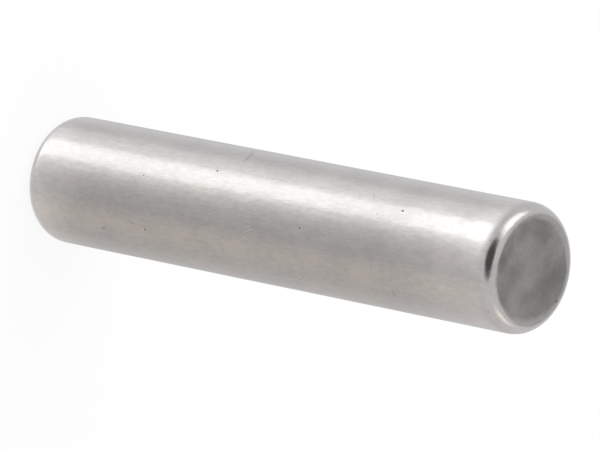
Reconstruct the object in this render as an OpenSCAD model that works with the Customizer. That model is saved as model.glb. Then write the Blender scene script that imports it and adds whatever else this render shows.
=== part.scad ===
// Needle roller: one piece of hardened bearing steel with flat ends and rounded corners.
// It stands on one end with its axis along Z; the origin is the centre of that end.
// All sizes are in millimetres.

/* [Roller] */
// Diameter of the rolling surface
roller_d = 5; // [2:0.1:10]
// Length over the two flat ends
roller_l = 23.8; // [6:0.2:60]

/* [Rounded corners] */
// Length of each rounded corner, along the roller
corner_l = 0.6; // [0.45:0.01:1]
// Width of each rounded corner, from the rolling surface in to the flat end
corner_w = 0.48; // [0.42:0.01:0.8]
// Radius that turns each corner in to the flat end
turn_in_r = 0.4; // [0.2:0.01:0.41]

/* [Hidden] */

$fn = 96;
roller_r = roller_d / 2;
flat_r = roller_r - corner_w;
steel = [0.74, 0.735, 0.725];

// Each corner is two arcs that run on into each other. The run-out arc starts where the
// rolling surface ends, and the tighter turn-in arc finishes where the flat end starts.
// The run-out radius is the one that makes the arcs tangent to each other as well.
run_out_r = (pow(corner_l - turn_in_r, 2) + pow(corner_w, 2) - pow(turn_in_r, 2))
    / (2 * (corner_w - turn_in_r));
run_out_centre = [roller_r - run_out_r, corner_l];
turn_in_centre = [flat_r, turn_in_r];

// Where the two arcs meet, on the line through both centres
to_join = turn_in_centre - run_out_centre;
join_point = run_out_centre + to_join * run_out_r / norm(to_join);
// Far enough past the join that a cut along this line clears the corner
past_join = join_point + to_join;

// Part of the run-out disc that lies above the join
module run_out() {
    intersection() {
        translate(run_out_centre)
            circle(run_out_r);
        polygon([turn_in_centre, past_join, [past_join.x, corner_l], [flat_r, corner_l]]);
    }
}

module turn_in() {
    translate(turn_in_centre)
        circle(turn_in_r);
}

// Half section of the rounded corner at the lower end, inside its own box
module corner_section() {
    intersection() {
        translate([flat_r, 0])
            square([corner_w, corner_l]);
        union() {
            run_out();
            turn_in();
        }
    }
}

// Half section of the whole roller, from the axis out to the rolling surface
module roller_section() {
    square([flat_r, roller_l]);
    translate([0, corner_l])
        square([roller_r, roller_l - 2 * corner_l]);
    corner_section();
    translate([0, roller_l])
        mirror([0, 1])
            corner_section();
}

module roller() {
    color(steel)
        rotate_extrude()
            roller_section();
}

roller();
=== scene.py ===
from math import cos, pi, radians, sin

import bpy
import numpy as np
from mathutils import Matrix, Vector


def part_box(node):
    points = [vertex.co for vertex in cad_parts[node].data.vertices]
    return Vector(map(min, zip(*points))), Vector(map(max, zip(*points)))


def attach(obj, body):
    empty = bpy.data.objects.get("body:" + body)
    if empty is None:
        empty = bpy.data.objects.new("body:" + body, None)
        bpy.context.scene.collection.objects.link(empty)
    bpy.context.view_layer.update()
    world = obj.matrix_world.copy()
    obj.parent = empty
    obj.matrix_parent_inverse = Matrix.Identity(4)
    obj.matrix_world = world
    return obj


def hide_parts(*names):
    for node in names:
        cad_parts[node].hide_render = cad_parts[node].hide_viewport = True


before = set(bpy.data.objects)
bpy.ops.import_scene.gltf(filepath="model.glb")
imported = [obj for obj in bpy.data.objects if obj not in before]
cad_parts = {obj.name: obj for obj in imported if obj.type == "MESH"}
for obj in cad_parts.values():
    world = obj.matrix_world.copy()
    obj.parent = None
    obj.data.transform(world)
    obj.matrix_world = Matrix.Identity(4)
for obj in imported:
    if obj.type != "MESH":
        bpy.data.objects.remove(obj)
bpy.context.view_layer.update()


# ---------------------------------------------------------------------------------------
# The roller: one rod of hardened bearing steel, cropped from wire, ground on its outside
# and tumbled until its corners are round. It is turned here as a profile carried round
# the axis, with the slight waves of tumbling and its few pits in the surface itself.
# ---------------------------------------------------------------------------------------
mm = 0.001
roller_box = np.array(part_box("roller"))
roller_length = float(roller_box[1, 2] - roller_box[0, 2])
roller_radius = float((roller_box[1] - roller_box[0])[:2].min()) / 2
corner_length = 0.6 * mm
corner_width = 0.48 * mm
turn_in_radius = 0.4 * mm
flat_radius = roller_radius - corner_width
# Each corner is two arcs, a turn-in arc by the flat end and a run-out arc that is tangent to it
# and to the rolling surface. This is how far apart their centres lie along the roller
centres_apart = corner_length - turn_in_radius
run_out_radius = centres_apart**2 + corner_width**2 - turn_in_radius**2
run_out_radius /= 2 * (corner_width - turn_in_radius)
# How deep the waves of tumbling go
wave_depth = 0.006 * mm

# Pits in the skin: angle round the roller in degrees, then height, width and depth in mm
skin_pits = [
    (-33.6, 9.38, 0.10, 0.018),
    (33.3, 6.34, 0.11, 0.022),
    (3.7, 14.33, 0.10, 0.020),
    (-15.4, 6.03, 0.07, 0.007),
    (-29.5, 18.87, 0.12, 0.018),
    (-41.0, 11.05, 0.06, 0.005),
    (-35.2, 11.88, 0.06, 0.005),
    (-51.0, 13.15, 0.05, 0.004),
    (104, 7.3, 0.10, 0.018),
    (148, 18.1, 0.08, 0.015),
    (-152, 9.4, 0.09, 0.018),
    (-108, 20.2, 0.07, 0.012),
]
# Pits in the upper flat end: angle in degrees, then distance from the axis, width and depth in mm
end_pits = [
    (151, 1.97, 0.12, 0.015),
    (-105, 1.14, 0.06, 0.003),
    (-146, 1.84, 0.05, 0.003),
]
# Stains on the upper flat end: middle along X and Y, half sizes in mm, and how dark each is,
# where a minus is a cleaner patch
end_stains = [
    (-1.55, -0.20, 0.70, 1.20, 0.26),
    (0.05, 1.35, 0.65, 1.15, 0.55),
    (0.75, 0.95, 0.65, 0.95, 0.50),
    (0.62, 0.37, 0.55, 0.50, 0.40),
    (-0.05, -1.88, 0.60, 0.50, 0.75),
    (-1.62, -0.98, 0.45, 0.45, 0.30),
    (-1.05, 1.35, 0.65, 0.75, -0.30),
    (-0.45, -0.50, 1.00, 0.90, -0.30),
    (-0.58, 0.36, 0.50, 0.45, -0.35),
    (-0.72, -1.18, 0.45, 0.45, -0.28),
    (1.50, -0.55, 0.55, 1.10, -0.25),
]


def wave_field(points, shortest, longest, count, seed):
    """Sum of plane waves cos(k.p + phase) in random directions, scaled to run from -1 to 1."""
    draw = np.random.default_rng(seed)
    direction = draw.normal(size=(count, 3))
    direction /= np.linalg.norm(direction, axis=1, keepdims=True)
    wavelength = draw.uniform(shortest, longest, size=count)
    phase = draw.uniform(0, 2 * pi, size=count)
    waves = np.cos(points @ (direction * (2 * pi / wavelength)[:, None]).T + phase)
    field = waves @ (wavelength / longest)
    return field / np.abs(field).max()


def end_profile(flat_rows, arc_rows):
    """Half of one end, from its centre out: a line along the flat end, then the turn-in arc,
    then the run-out arc, which is tangent to it and to the rolling surface."""
    join = np.arctan2(centres_apart, run_out_radius - corner_width)
    flat = np.linspace(0, flat_radius, flat_rows, endpoint=False)[1:]
    turn = np.linspace(pi / 2, join, arc_rows, endpoint=False)
    run = np.linspace(join, 0, arc_rows)
    radius = np.concatenate([
        flat,
        flat_radius + turn_in_radius * np.cos(turn),
        roller_radius - run_out_radius + run_out_radius * np.cos(run),
    ])
    height = np.concatenate([
        np.zeros_like(flat),
        turn_in_radius - turn_in_radius * np.sin(turn),
        corner_length - run_out_radius * np.sin(run),
    ])
    return radius, height


def eased_join(from_end):
    """How far below the profile the skin lies where the corner begins, so that its curve grows
    steadily over a short way instead of starting at once: with s from -w to w about the join
    and the curve c, that is c (s + w)^3 / 12 w less the arc's own c s^2 / 2."""
    half_way = 0.15 * mm
    s = np.clip(corner_length - from_end, -half_way, half_way)
    return ((s + half_way) ** 3 / (12 * half_way) - np.clip(s, 0, None) ** 2 / 2) / run_out_radius


def hollow(distance):
    """A round hollow or spot, (1 - d^2)^2 out to the distance 1 from its middle and 0 beyond."""
    return np.clip(1 - distance**2, 0, None) ** 2


def with_fine_steps(values, centres, reach, steps=7):
    """A rising run of values, with extra ones close round each centre."""
    extra = (np.asarray(centres)[:, None] + np.linspace(-reach, reach, steps)[None, :]).ravel()
    merged = np.sort(np.concatenate([values, extra]))
    apart = np.concatenate([[True], np.diff(merged) > reach / steps / 2])
    return merged[apart]


def roller_profile(skin, ends):
    """The profile r(s), z(s) from the centre of the lower end, up the skin, to the centre of the
    upper end, with closer rows through each pit and where the corners begin."""
    flat_rows, arc_rows, straight_rows = 26, 14, 112
    pit_reach = skin[:, 2].max()
    end_r, end_z = end_profile(flat_rows, arc_rows)
    upper_flat = with_fine_steps(end_r[: flat_rows - 1], ends[:, 1], pit_reach)
    upper_flat = upper_flat[upper_flat < flat_radius]
    corner_r, corner_z = end_r[flat_rows - 1 :], end_z[flat_rows - 1 :]
    upper_r = np.concatenate([upper_flat, corner_r])
    upper_z = np.concatenate([np.zeros_like(upper_flat), corner_z])

    straight = np.linspace(corner_length, roller_length - corner_length, straight_rows)[1:-1]
    straight = with_fine_steps(straight, skin[:, 1], pit_reach)
    join_middle, join_reach = corner_length + 0.08 * mm, 0.075 * mm
    straight = with_fine_steps(straight, [join_middle, roller_length - join_middle], join_reach)
    profile_r = np.concatenate([end_r, np.full_like(straight, roller_radius), upper_r[::-1]])
    profile_z = np.concatenate([end_z, straight, roller_length - upper_z[::-1]])
    return profile_r, profile_z


def roller_mesh(name):
    """The profile r(s), z(s) turned through a full circle: p = (r sin a, -r cos a, z). Each
    point is then lowered along the normal by the tumbling waves and by the pits, where a pit
    is depth (1 - (d / radius)^2)^2 at the distance d from its centre."""
    skin = np.array(skin_pits) * [pi / 180, mm, mm / 2, mm]
    ends = np.array(end_pits) * [pi / 180, mm, mm / 2, mm]
    profile_r, profile_z = roller_profile(skin, ends)
    round_steps = 232
    angle = np.linspace(-pi, pi, round_steps, endpoint=False)
    angle = with_fine_steps(angle, skin[:, 0], skin[:, 2].max() / roller_radius)

    rows, columns = len(profile_r), len(angle)
    r = np.repeat(profile_r[:, None], columns, axis=1)
    z = np.repeat(profile_z[:, None], columns, axis=1)
    a = np.repeat(angle[None, :], rows, axis=0)
    x, y = r * np.sin(a), -r * np.cos(a)
    from_end = np.minimum(z, roller_length - z)
    upper_half = z > roller_length / 2
    outward = np.stack([np.gradient(profile_z), -np.gradient(profile_r)], axis=1)
    outward /= np.linalg.norm(outward, axis=1, keepdims=True)
    points = np.stack([x, y, z], axis=2)

    waves = wave_field(points.reshape(-1, 3), shortest=1.2 * mm, longest=5.0 * mm, count=90, seed=11)
    sink = wave_depth * (1 + waves.reshape(rows, columns)) / 2
    sink += eased_join(from_end) * outward[:, :1]
    pit_mask = np.zeros_like(sink)
    for turned, height, size, depth in skin:
        pit = hollow(np.hypot(roller_radius * (a - turned), z - height) / size)
        sink += depth * pit
        pit_mask = np.maximum(pit_mask, pit)
    for turned, out, size, depth in ends:
        pit = hollow(np.hypot(x - out * sin(turned), y + out * cos(turned)) / size) * upper_half
        sink += depth * pit
        pit_mask = np.maximum(pit_mask, pit)
    points[..., 0] -= sink * outward[:, :1] * np.sin(a)
    points[..., 1] += sink * outward[:, :1] * np.cos(a)
    points[..., 2] -= sink * outward[:, 1:]

    # The dull flat is worn in from its edge, unevenly round the roller, and fades out over a
    # short way that changes too, all in mm
    worn_in = 0.10 * np.cos(a) + 0.06 * np.cos(2 * a) - 0.05 * np.cos(3 * a + pi / 4) - 0.045
    half_fade = mm * (0.17 - 0.05 * np.cos(2 * a))
    flat_mask = np.clip((flat_radius + mm * worn_in + half_fade - r) / (2 * half_fade), 0, 1)
    stain_mask = np.zeros_like(sink)
    for across, back, half_wide, half_deep, dark in end_stains:
        stain = hollow(np.hypot((x / mm - across) / half_wide, (y / mm - back) / half_deep))
        stain_mask += dark * stain * upper_half
    mask_start, mask_width = corner_length + 0.1 * mm, 0.3 * mm
    corner_mask = np.clip((mask_start - from_end) / mask_width, 0, 1)

    poles = np.array([[0, 0, points[0, :, 2].mean()], [0, 0, points[-1, :, 2].mean()]])
    vertices = np.concatenate([points.reshape(-1, 3), poles])
    index = np.arange(rows * columns).reshape(rows, columns)
    beside = np.roll(index, -1, axis=1)
    walls = np.stack([index[:-1], beside[:-1], beside[1:], index[1:]], axis=2).reshape(-1, 4)
    lower = np.stack([index[0], np.full(columns, rows * columns), beside[0]], axis=1)
    upper = np.stack([index[-1], beside[-1], np.full(columns, rows * columns + 1)], axis=1)

    mesh = bpy.data.meshes.new(name)
    mesh.from_pydata(vertices, [], lower.tolist() + walls.tolist() + upper.tolist())
    mesh.polygons.foreach_set("use_smooth", np.ones(len(mesh.polygons), dtype=bool))
    masks = {"pit": pit_mask, "flat end": flat_mask, "corner": corner_mask, "stain": stain_mask}
    for title, mask in masks.items():
        layer = mesh.attributes.new(title, "FLOAT", "POINT")
        at_poles = [mask[0].mean(), mask[-1].mean()]
        layer.data.foreach_set("value", np.concatenate([mask.ravel(), at_poles]).astype(np.float32))

    # Unrolled in millimetres: across is the arc from the front, up is the height
    step = np.append(np.diff(angle), angle[0] + 2 * pi - angle[-1])
    near = np.repeat((roller_radius * angle)[None, :], rows, axis=0)
    left, right, up = near / mm, (near + roller_radius * step) / mm, z / mm
    lower_rows, upper_rows = slice(0, -1), slice(1, None)
    corners = [(left, lower_rows), (right, lower_rows), (right, upper_rows), (left, upper_rows)]
    wall_uv = np.stack([np.stack([side[part], up[part]], axis=2) for side, part in corners], axis=2)
    lower_uv = np.stack([left[0], up[0], left[0], up[0], right[0], up[0]], axis=1)
    upper_uv = np.stack([left[-1], up[-1], right[-1], up[-1], left[-1], up[-1]], axis=1)
    unrolled = mesh.uv_layers.new(name="unrolled", do_init=False)
    all_uv = np.concatenate([lower_uv.ravel(), wall_uv.ravel(), upper_uv.ravel()])
    unrolled.uv.foreach_set("vector", all_uv.astype(np.float32))
    return mesh


def add_object(name, data):
    """An object put into the scene at the origin, unturned."""
    thing = bpy.data.objects.new(name, data)
    bpy.context.scene.collection.objects.link(thing)
    return thing


def put(tree, kind, *feeds, **settings):
    """Adds a node. Feeds fill its inputs in order, or by name where one is a (name, feed) pair:
    a socket is linked, None is passed over and anything else is set. Settings are the node's own."""
    node = tree.nodes.new(kind)
    for name, value in settings.items():
        setattr(node, name, value)
    for place, feed in enumerate(feeds):
        if isinstance(feed, tuple) and isinstance(feed[0], str):
            place, feed = feed
        if isinstance(feed, bpy.types.NodeSocket):
            tree.links.new(feed, node.inputs[place])
        elif feed is not None:
            node.inputs[place].default_value = feed
    return node


def reckon(tree, operation, *feeds):
    """One step of arithmetic on numbers that change over the surface."""
    return put(tree, "ShaderNodeMath", *feeds, operation=operation).outputs[0]


def scaled(tree, vector, size):
    """A place or a colour times a number."""
    return put(tree, "ShaderNodeVectorMath", vector, ("Scale", size), operation="SCALE").outputs[0]


def ramp_to(tree, value, low, high, from_low=0.0, from_high=1.0, kind="SMOOTHSTEP"):
    """A number brought from between from_low and from_high to between low and high, and held there."""
    feeds = value, from_low, from_high, low, high
    return put(tree, "ShaderNodeMapRange", *feeds, interpolation_type=kind).outputs[0]


def sum_of(tree, *shares):
    """The sum of masks, each times its share."""
    total = 0.0
    for mask, share in shares:
        total = reckon(tree, "MULTIPLY_ADD", mask, share, total)
    return total


def blend(tree, amount, first, second, kind="RGBA"):
    """What lies between first and second, each a socket or a plain value: a colour as red, green
    and blue, or a place where kind is VECTOR."""
    mixer = put(tree, "ShaderNodeMix", amount, data_type=kind)
    ends = [socket for socket in mixer.inputs if socket.name in ("A", "B") and socket.type == kind]
    for socket, value in zip(ends, (first, second)):
        if isinstance(value, bpy.types.NodeSocket):
            tree.links.new(value, socket)
        else:
            socket.default_value = (*value, 1) if kind == "RGBA" else value
    return next(socket for socket in mixer.outputs if socket.type == kind)


def new_material(name):
    """A material with nodes, and its node tree."""
    material = bpy.data.materials.new(name)
    material.use_nodes = True
    return material, material.node_tree


def new_effect(name, inputs, output):
    """A shader node group with one value coming out. Each input has its usual value: a number, or
    for a vector three numbers or None."""
    group = bpy.data.node_groups.new(name, "ShaderNodeTree")
    for title, value in inputs.items():
        kind = "NodeSocketFloat" if isinstance(value, float) else "NodeSocketVector"
        socket = group.interface.new_socket(title, in_out="INPUT", socket_type=kind)
        if value is not None:
            socket.default_value = value
    group.interface.new_socket(output, in_out="OUTPUT", socket_type="NodeSocketFloat")
    return group, put(group, "NodeGroupInput").outputs


def effect(tree, group, *feeds):
    """An effect placed in a material, fed in the order of its inputs."""
    return put(tree, "ShaderNodeGroup", *feeds, node_tree=group).outputs[0]


def noise(tree, place, scale, detail):
    """Smooth noise, which runs from 0 to 1 and mostly lies close to 0.5."""
    feeds = ("Vector", place), ("Scale", scale), ("Detail", detail)
    return put(tree, "ShaderNodeTexNoise", *feeds).outputs[0]


def long_streaks():
    """Fine streaks that run along the roller: noise stretched by Length over Width."""
    inputs = {"Place": None, "Width": 0.08, "Length": 1.0, "Detail": 2.0}
    group, given = new_effect("long streaks", inputs, "Streak")
    across = reckon(group, "DIVIDE", 1.0, given["Width"])
    along = reckon(group, "DIVIDE", 1.0, given["Length"])
    scale = put(group, "ShaderNodeCombineXYZ", across, across, along).outputs[0]
    stretched = put(group, "ShaderNodeVectorMath", given["Place"], scale, operation="MULTIPLY")
    put(group, "NodeGroupOutput", noise(group, stretched.outputs[0], 1.0, given["Detail"]))
    return group


def clouding():
    """Soft uneven patches of a given size, as tumbling leaves them."""
    group, given = new_effect("clouding", {"Place": None, "Patch": 0.5, "Detail": 3.0}, "Cloud")
    scale = reckon(group, "DIVIDE", 1.0, given["Patch"])
    put(group, "NodeGroupOutput", noise(group, given["Place"], scale, given["Detail"]))
    return group


def within_mark(group, place, middle, turn, half_size):
    """A place as seen from a mark, where the mark ends at the distance 1, and that distance."""
    feeds = place, middle, turn, half_size
    local = put(group, "ShaderNodeMapping", *feeds, vector_type="TEXTURE").outputs[0]
    return local, put(group, "ShaderNodeVectorMath", local, operation="LENGTH").outputs["Value"]


def scratch():
    """A thin straight mark about its Middle: 1 along its line, falling to 0 at its edge and tips."""
    inputs = {"Place": None, "Middle": None, "Turn": None, "Half Size": (0.5, 0.03, 1)}
    group, given = new_effect("scratch", inputs, "Scratch")
    local, out = within_mark(group, given["Place"], given["Middle"], given["Turn"], given["Half Size"])
    put(group, "NodeGroupOutput", ramp_to(group, out, 1.0, 0.0, 0.2, 1.0))
    return group


def hatching():
    """A patch of short strokes side by side about its Middle, each stroke a ridge or a groove."""
    inputs = {"Place": None, "Middle": None, "Turn": None, "Half Size": (0.5, 0.3, 1), "Strokes": 3.0}
    group, given = new_effect("hatching", inputs, "Hatching")
    local, out = within_mark(group, given["Place"], given["Middle"], given["Turn"], given["Half Size"])
    across = put(group, "ShaderNodeSeparateXYZ", local).outputs[1]
    half_turns = reckon(group, "MULTIPLY", reckon(group, "MULTIPLY", across, pi), given["Strokes"])
    wave = reckon(group, "SINE", half_turns)
    fade = ramp_to(group, out, 1.0, 0.0, 0.3, 1.0)
    put(group, "NodeGroupOutput", reckon(group, "MULTIPLY", wave, fade))
    return group


def hairlines():
    """Short straight hairlines lying all ways: one in some of the cells that Spacing sets."""
    inputs = {"Place": None, "Spacing": 2.0, "Width": 0.03, "Share": 0.3}
    group, given = new_effect("hairlines", inputs, "Hairline")
    scale = reckon(group, "DIVIDE", 1.0, given["Spacing"])
    feeds = ("Vector", given["Place"]), ("Scale", scale)
    cells = put(group, "ShaderNodeTexVoronoi", *feeds, voronoi_dimensions="2D")
    chance = put(group, "ShaderNodeSeparateColor", cells.outputs["Color"]).outputs
    any_way = reckon(group, "MULTIPLY", chance[0], 2 * pi)
    turn = put(group, "ShaderNodeCombineXYZ", 0.0, 0.0, any_way).outputs[0]
    length = reckon(group, "MULTIPLY", given["Spacing"], ramp_to(group, chance[1], 0.1, 0.3))
    half_size = put(group, "ShaderNodeCombineXYZ", length, given["Width"], 1.0).outputs[0]
    local, out = within_mark(group, given["Place"], cells.outputs["Position"], turn, half_size)
    present = reckon(group, "LESS_THAN", chance[2], given["Share"])
    fade = ramp_to(group, out, 1.0, 0.0, 0.2, 1.0)
    put(group, "NodeGroupOutput", reckon(group, "MULTIPLY", fade, present))
    return group


# Scratches and smears on the unrolled skin: across and up in mm, turn in degrees, length and
# width in mm, depth in micrometres and how much each darkens the steel
skin_marks = [
    (-2.50, 10.15, 7, 0.90, 0.10, 5, 0.50),
    (-3.05, 10.04, 10, 1.00, 0.06, 4, 0.30),
    (-2.95, 9.93, 30, 0.90, 0.32, 0, 0.22),
    (1.27, 5.73, 72, 0.56, 0.10, 5, 0.24),
    (-0.96, 17.80, 30, 0.26, 0.07, 3, 0.40),
    (1.79, 4.05, 108, 0.55, 0.26, 0, 0.22),
    (2.12, 18.80, 10, 0.45, 0.20, 0, 0.18),
]
# Patches of short strokes: across and up, turn, length and width, strokes and their depth
skin_hatches = [
    (0.60, 11.76, 113, 0.90, 0.55, 4, 4.5),
    (0.22, 9.90, 118, 0.65, 0.36, 3, 3.0),
    (2.25, 14.20, 131, 1.05, 0.60, 4, 3.5),
    (-1.72, 17.13, 18, 0.32, 0.24, 2, 6.0),
    (1.09, 14.02, 8, 0.40, 0.36, 3, 3.5),
]


def mark_place(across, up, turn, length, width):
    """A mark's middle, turn and half size, as the scratch and the hatching take them."""
    return (across, up, 0), (0, 0, radians(turn)), (length / 2, width / 2, 1)


def towards(tree, place, azimuth, out=roller_radius / mm):
    """How far a place lies towards an azimuth: 1 right there, 0 a quarter turn away. The place is
    so far out from the axis, which is on the skin unless another distance is given."""
    angle = radians(azimuth)
    pointer = (sin(angle) / out, -cos(angle) / out, 0)
    return put(tree, "ShaderNodeVectorMath", place, pointer, operation="DOT_PRODUCT").outputs["Value"]


# Colours of the steel, from its duller to its cleaner patches, the dark colour of its scratches and
# smears, which also paints shade into the grooves of its hatching, and the dark colour of its pits
skin_colours = (0.429, 0.413, 0.415), (0.487, 0.463, 0.459)
end_colours = (0.210, 0.198, 0.197), (0.376, 0.357, 0.354)
mark_and_shade_colour = (0.08, 0.075, 0.075)
pit_colour = (0.05, 0.048, 0.046)


def tumbled_steel():
    """Bright bearing steel: streaks along the skin, soft clouding, fine grain, scratches and
    pits, with flat ends that are duller and rougher than the skin."""
    material, tree = new_material("tumbled bearing steel")
    steel = tree.nodes["Principled BSDF"]
    place = scaled(tree, put(tree, "ShaderNodeTexCoord").outputs["Object"], 1 / mm)
    unrolled = put(tree, "ShaderNodeUVMap", uv_map="unrolled").outputs[0]
    pit, flat_end, corner, stain = [
        put(tree, "ShaderNodeAttribute", attribute_name=title).outputs["Fac"]
        for title in ("pit", "flat end", "corner", "stain")
    ]

    # Marks, with their depth in micrometres
    marks, dark_marks_and_shade = 0.0, 0.0
    one_scratch, one_hatching = scratch(), hatching()
    for *where, depth, darkening in skin_marks:
        mark = effect(tree, one_scratch, unrolled, *mark_place(*where))
        dark_marks_and_shade = reckon(tree, "MULTIPLY_ADD", mark, darkening, dark_marks_and_shade)
        if depth:
            marks = reckon(tree, "MULTIPLY_ADD", mark, -depth, marks)
    # The groove half of each stroke is darkened too: painted shade in the grooves
    groove_shade = 0.16
    for *where, strokes, depth in skin_hatches:
        mark = effect(tree, one_hatching, unrolled, *mark_place(*where), strokes)
        marks = reckon(tree, "MULTIPLY_ADD", mark, -depth, marks)
        dark_marks_and_shade = reckon(tree, "MULTIPLY_ADD", reckon(tree, "MAXIMUM", mark, 0.0), groove_shade, dark_marks_and_shade)

    # Streaks have a width, a length and a detail, and clouds a size and a detail, in mm
    streaks, clouds = long_streaks(), clouding()
    thin_streak = effect(tree, streaks, place, 0.05, 0.2, 1.0)
    fine_streak = effect(tree, streaks, place, 0.10, 0.4, 1.0)
    broad_streak = effect(tree, streaks, place, 0.35, 1.0, 2.0)
    small_cloud = effect(tree, clouds, place, 0.3, 3.0)
    broad_cloud = effect(tree, clouds, place, 1.5, 3.0)
    grain = effect(tree, clouds, place, 0.055, 1.0)

    # Hairlines lie on the unrolled skin, or flat across the ends
    lying = blend(tree, flat_end, unrolled, place, kind="VECTOR")
    hair = effect(tree, hairlines(), lying, 1.7, 0.02, 0.45)
    dark_marks_and_shade = reckon(tree, "MULTIPLY_ADD", hair, 0.12, dark_marks_and_shade)

    dull_edge = sum_of(tree, (flat_end, 1.0), (effect(tree, clouds, place, 0.45, 3.0), 0.6))
    dull = ramp_to(tree, dull_edge, 0.0, 1.0, 0.50, 1.10)

    patch = sum_of(tree, (small_cloud, 0.4), (broad_cloud, 0.6))
    tone = sum_of(tree, (patch, 0.65), (fine_streak, 0.35))
    skin_colour = blend(tree, ramp_to(tree, tone, 0.0, 1.0, 0.38, 0.62), *skin_colours)
    # The skin's colour is painted a little brighter towards the upper end, most of all at the front
    # right, and close to the corner at the front left: a painted highlight where the skin's reflection
    # flares near that end
    height = put(tree, "ShaderNodeSeparateXYZ", place).outputs[2]
    upwards = ramp_to(tree, height, 0.0, 1.0, 18.3, 23.0)
    front_right_highlight = ramp_to(tree, towards(tree, place, 40), 0.08, 0.23, 0.20, 0.55)
    by_corner = ramp_to(tree, height, 0.0, 1.0, 22.0, 22.8)
    front_left_highlight = ramp_to(tree, towards(tree, place, -24), 0.0, 0.11, 0.68, 0.88)
    painted_highlight = sum_of(tree, (upwards, front_right_highlight), (by_corner, front_left_highlight))
    off_corner = reckon(tree, "SUBTRACT", 1.0, corner)
    highlight_gain = reckon(tree, "MULTIPLY_ADD", painted_highlight, off_corner, 1.0)
    skin_colour = scaled(tree, skin_colour, highlight_gain)

    end_small = effect(tree, clouds, place, 0.14, 1.0)
    end_patch = sum_of(
        tree,
        (effect(tree, clouds, place, 1.2, 1.5), 0.60),
        (effect(tree, clouds, place, 0.5, 1.0), 0.24),
        (end_small, 0.16),
        (stain, -0.36),
    )
    end_colour = blend(tree, ramp_to(tree, end_patch, 0.0, 1.0, 0.22, 0.78), *end_colours)
    colour = blend(tree, dull, skin_colour, end_colour)
    # Scratches, smears and hairlines darken the steel here, and so does the painted shade in the
    # hatching's grooves
    colour = blend(tree, dark_marks_and_shade, colour, mark_and_shade_colour)
    colour = blend(tree, ramp_to(tree, pit, 0.0, 0.92, 0.05, 0.45), colour, pit_colour)
    tree.links.new(colour, steel.inputs["Base Color"])
    steel.inputs["Metallic"].default_value = 1

    # The corners are a little less glossy than the skin, and the flat ends much less
    end_roughness = 0.34
    skin_roughness = sum_of(tree, (patch, 0.08), (corner, 0.07), (1.0, 0.07))
    feeds = dull, ("A", skin_roughness), ("B", end_roughness)
    roughness = put(tree, "ShaderNodeMix", *feeds, data_type="FLOAT").outputs[0]
    tree.links.new(roughness, steel.inputs["Roughness"])

    # Heights in micrometres
    relief = sum_of(
        tree,
        (thin_streak, 0.5),
        (fine_streak, 1.6),
        (broad_streak, 7.5),
        (small_cloud, 2.2),
        (broad_cloud, 14.0),
        (grain, 0.2),
        (hair, -1.5),
        (reckon(tree, "MULTIPLY", dull, end_small), 5.0),
        (marks, 1.0),
    )
    bump = put(tree, "ShaderNodeBump", ("Strength", 1.0), ("Distance", 0.001 * mm), ("Height", relief))
    tree.links.new(bump.outputs[0], steel.inputs["Normal"])
    return material


roller = add_object("roller_skin", roller_mesh("roller_skin"))
roller.data.materials.append(tumbled_steel())
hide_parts("roller")
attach(roller, "root")


# ---------------------------------------------------------------------------------------
# The bench: a plain white matt top that the roller stands on, and that keeps its shadow.
# The steel mirrors the paper sweep below instead, so no hard line shows round its foot.
# ---------------------------------------------------------------------------------------
def square_sheet(name, reach):
    """A flat square at the height 0, reaching so far each way from the roller's axis."""
    corners = reach * np.array([(-1, -1, 0), (1, -1, 0), (1, 1, 0), (-1, 1, 0)])
    mesh = bpy.data.meshes.new(name)
    mesh.from_pydata(corners, [], [(0, 1, 2, 3)])
    return add_object(name, mesh)


def bench_top():
    """Matt white, mostly plain white to what looks at it, so that the shadow on it stays faint."""
    material, tree = new_material("white bench top")
    matt = tree.nodes["Principled BSDF"]
    matt.inputs["Base Color"].default_value = (0.8, 0.8, 0.8, 1)
    matt.inputs["Roughness"].default_value = 0.9
    matt.inputs["Specular IOR Level"].default_value = 0
    path = put(tree, "ShaderNodeLightPath").outputs
    looked_at = path["Is Camera Ray"]
    for ray in ("Is Glossy Ray", "Is Transmission Ray"):
        looked_at = reckon(tree, "MAXIMUM", looked_at, path[ray])
    plain_share = 0.88
    share = reckon(tree, "MULTIPLY", looked_at, plain_share)
    white = put(tree, "ShaderNodeEmission", ("Strength", 1.0))
    both = put(tree, "ShaderNodeMixShader", share, matt.outputs[0], white.outputs[0])
    tree.links.new(both.outputs[0], tree.nodes["Material Output"].inputs["Surface"])
    return material


bench_reach = 0.5
bench = square_sheet("bench", bench_reach)
bench.data.materials.append(bench_top())
bench.visible_glossy = False


# ---------------------------------------------------------------------------------------
# The studio: a white room with two soft lamps. The steel mirrors what stands in it: a sweep
# of pale paper below, a faint light round the foot, dark cloth where the camera is, a grey
# card at the back of the room, and a glowing card on each side.
# ---------------------------------------------------------------------------------------
roller_top = Vector((0, 0, roller_length))


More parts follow.
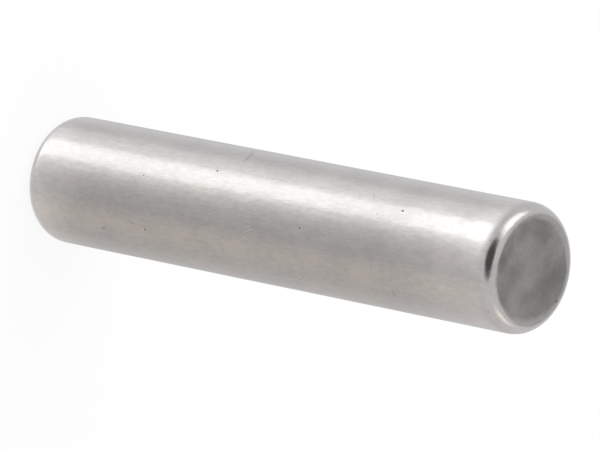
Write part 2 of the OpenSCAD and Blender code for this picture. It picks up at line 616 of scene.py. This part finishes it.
def dome_patch(name, middle, distance, azimuths, elevations, steps=(48, 24)):
    """Part of a ball round a middle: p = middle + distance (sin a cos e, -cos a cos e, sin e),
    with the azimuth a and the elevation e each running between two angles in degrees. Its UV
    map, "spread", runs from -1 to 1 both ways."""
    a = np.radians(np.linspace(*azimuths, steps[0] + 1))[None, :]
    e = np.radians(np.linspace(*elevations, steps[1] + 1))[:, None]
    ball = np.stack([np.sin(a) * np.cos(e), -np.cos(a) * np.cos(e), np.sin(e) * np.ones_like(a)], axis=2)
    points = np.array(middle) + distance * ball
    index = np.arange(points[..., 0].size).reshape(points.shape[:2])
    faces = [index[:-1, :-1], index[1:, :-1], index[1:, 1:], index[:-1, 1:]]
    faces = np.stack(faces, axis=2).reshape(-1, 4)
    mesh = bpy.data.meshes.new(name)
    mesh.from_pydata(points.reshape(-1, 3), [], faces.tolist())
    u, v = np.meshgrid(np.linspace(-1, 1, steps[0] + 1), np.linspace(-1, 1, steps[1] + 1))
    spread = mesh.uv_layers.new(name="spread", do_init=False)
    corner_uv = np.stack([u.ravel()[faces], v.ravel()[faces]], axis=2)
    spread.uv.foreach_set("vector", corner_uv.astype(np.float32).ravel())
    return add_object(name, mesh)


def mirrored_only(card, material):
    """A card that nothing but reflections can see, and that casts no light or shadow."""
    card.data.materials.append(material)
    card.visible_camera = False
    card.visible_diffuse = False
    card.visible_shadow = False
    card.visible_transmission = False


def glow(name, strength):
    """Card that only shows light, from both sides. Returns the material, its Emission node and
    its output node."""
    material, tree = new_material(name)
    material.cycles.emission_sampling = "NONE"
    tree.nodes.clear()
    light = put(tree, "ShaderNodeEmission", (1, 1, 1, 1), strength)
    return material, light, put(tree, "ShaderNodeOutputMaterial", light.outputs[0])


# The sweep's own level, and the lights that fall on it round the roller. Each has its middle, how
# far to either side it is even and how far it reaches, in degrees (0 is -Y, 90 is +X), and its colour
sweep_level = (0.55, 0.55, 0.56)
sweep_lights = {
    "room": (0, 110, 180, (0.10, 0.10, 0.08)),
    "left of the back": (-120, 20, 62, (0.28, 0.28, 0.29)),
    "key": (-54, 0, 64, (0.97, 0.98, 0.97)),
    "middle of the key": (-51, 9, 24, (0.51, 0.54, 0.54)),
    "soft side of the key": (-29, 0, 16, (0.15, 0.15, 0.12)),
    "front": (2, 0, 34, (0.12, 0.11, 0.09)),
    "warm side": (66, 5, 46, (0.17, 0.13, 0.085)),
    "warm back": (128, 5, 56, (0.135, 0.115, 0.09)),
}


def graded_paper(reach):
    """Pale paper with its lights round the roller, fading to white at the bench's level and to
    an even grey straight below the roller."""
    material, light, _ = glow("graded paper", 1.0)
    tree = material.node_tree
    place = put(tree, "ShaderNodeTexCoord").outputs["Object"]
    level = put(tree, "ShaderNodeVectorMath", place, (1, 1, 0), operation="MULTIPLY").outputs[0]
    outwards = put(tree, "ShaderNodeVectorMath", level, operation="NORMALIZE").outputs[0]
    paper = sweep_level
    for middle, even, far, colour in sweep_lights.values():
        off = reckon(tree, "ARCCOSINE", towards(tree, outwards, middle, 1))
        share = ramp_to(tree, off, 1.0, 0.0, radians(even), radians(far))
        lit = scaled(tree, colour, share)
        paper = put(tree, "ShaderNodeVectorMath", lit, paper, operation="ADD").outputs[0]

    # Where the two fades begin and end, as shares of the sweep's reach below the bench
    below = put(tree, "ShaderNodeSeparateXYZ", place).outputs[2]
    depth = ramp_to(tree, below, 1.0, 0.0, -0.66 * reach, -0.06 * reach, "LINEAR")
    straight_down = ramp_to(tree, below, 1.0, 0.0, -0.97 * reach, -0.86 * reach)
    white, grey = (1, 1, 1), (0.75, 0.75, 0.75)
    graded = blend(tree, depth, white, paper)
    tree.links.new(blend(tree, straight_down, graded, grey), light.inputs["Color"])
    return material


def soft_edged(name, colour, core):
    """A card that is even out to the core of its half width, and from there on is lost in the
    white of the room."""
    material, light, _ = glow(name, 1.0)
    tree = material.node_tree
    across = put(tree, "ShaderNodeUVMap", uv_map="spread").outputs[0]
    out = put(tree, "ShaderNodeVectorMath", across, operation="LENGTH").outputs["Value"]
    amount = ramp_to(tree, out, 1.0, 0.0, core, 1.0)
    tree.links.new(blend(tree, amount, (1, 1, 1), colour), light.inputs["Color"])
    return material


def light_round_foot():
    """Clear, with a little more light close round the foot, most of it just in front: with t
    falling from 1 to 0 between two distances from its middle, that is t^2 times its strength."""
    middle, near, far, strength = (0.5 * mm, -1.5 * mm, 0), 1.7, 5.2, 0.30
    material, light, output = glow("light round the foot", 0.0)
    tree = material.node_tree
    place = put(tree, "ShaderNodeTexCoord").outputs["Object"]
    distance = within_mark(tree, place, middle, (0, 0, 0), (mm, mm, mm))[1]
    amount = reckon(tree, "POWER", ramp_to(tree, distance, 1.0, 0.0, near, far, "LINEAR"), 2.0)
    tree.links.new(reckon(tree, "MULTIPLY", amount, strength), light.inputs["Strength"])
    clear = put(tree, "ShaderNodeBsdfTransparent")
    both = put(tree, "ShaderNodeAddShader", light.outputs[0], clear.outputs[0])
    tree.links.new(both.outputs[0], output.inputs["Surface"])
    return material


sweep_reach = 0.4
sweep = dome_patch("paper_sweep", (0, 0, 0), sweep_reach, (-180, 180), (-89.9, -0.5), steps=(96, 48))
mirrored_only(sweep, graded_paper(sweep_reach))

foot_light_reach = 8 * mm
mirrored_only(square_sheet("foot_light", foot_light_reach), light_round_foot())

# Cards on a ball round the roller's top: azimuths and elevations in degrees, what each is,
# its colour, and how far out from its middle it is even
card_distance = 0.2
cards = [
    ("camera_side", (-54, 41), (-8, 62), "dark cloth", (0.12, 0.118, 0.115), 0.5),
    ("room_back", (148, 212), (8, 66), "grey card", (0.70, 0.70, 0.70), 0.7),
    ("key_glow", (-132, -44), (6, 66), "key glow", (2.40, 2.40, 2.40), 0.35),
    ("warm_glow", (72, 146), (12, 46), "warm glow", (1.76, 1.68, 1.49), 0.15),
]
for name, azimuths, elevations, finish, colour, core in cards:
    card = dome_patch(name, roller_top, card_distance, azimuths, elevations)
    mirrored_only(card, soft_edged(finish, colour, core))


def direction(azimuth, elevation):
    """Unit vector towards a place round the roller, with azimuth 0 at -Y and 90 at +X."""
    a, e = radians(azimuth), radians(elevation)
    return Vector((sin(a) * cos(e), -cos(a) * cos(e), sin(e)))


def soft_lamp(name, azimuth, elevation, distance, width, height, radiance, colour):
    """A rectangular soft box that faces the roller, as bright as a sheet of that radiance."""
    box = bpy.data.lights.new(name, "AREA")
    box.shape = "RECTANGLE"
    box.size, box.size_y = width, height
    box.color = colour
    box.energy = radiance * pi * width * height
    lamp = add_object(name, box)
    toward = direction(azimuth, elevation)
    lamp.location = roller_top + toward * distance
    lamp.rotation_euler = toward.to_track_quat("Z", "Y").to_euler()
    lamp.visible_camera = False
    lamp.visible_glossy = False


soft_lamp("key_box", -92, 40, 0.16, 0.14, 0.136, radiance=2.2, colour=(1, 1, 1))
soft_lamp("warm_box", 120, 33, 0.2, 0.06, 0.08, radiance=1.9, colour=(1, 0.94, 0.82))

world = bpy.data.worlds.new("white studio")
world.use_nodes = True
world.node_tree.nodes["Background"].inputs["Color"].default_value = (1, 1, 1, 1)
world.node_tree.nodes["Background"].inputs["Strength"].default_value = 1
bpy.context.scene.world = world


# ---------------------------------------------------------------------------------------
# The camera: a long lens on a stand in front of the roller, looking down on it. It is rolled
# so that the roller lies across the picture, with its upper end to the right.
# ---------------------------------------------------------------------------------------
camera_distance, camera_elevation, camera_roll = 0.2817, 40.57, 101.23
roller_middle = Vector((0, 0, roller_length / 2))
aim = roller_middle + Vector((0.04, 0, 0.3)) * mm
camera = add_object("camera", bpy.data.cameras.new("camera"))
camera.data.lens, camera.data.sensor_width = 444, 36
camera.data.clip_start, camera.data.clip_end = 0.01, 2
lens_direction = direction(0, camera_elevation)
upright = lens_direction.to_track_quat("Z", "Y").to_matrix().to_4x4()
rolled = Matrix.Rotation(radians(camera_roll), 4, "Z")
camera.matrix_world = Matrix.Translation(aim + lens_direction * camera_distance) @ upright @ rolled
bpy.context.scene.camera = camera
bpy.context.scene.view_settings.view_transform = "Standard"
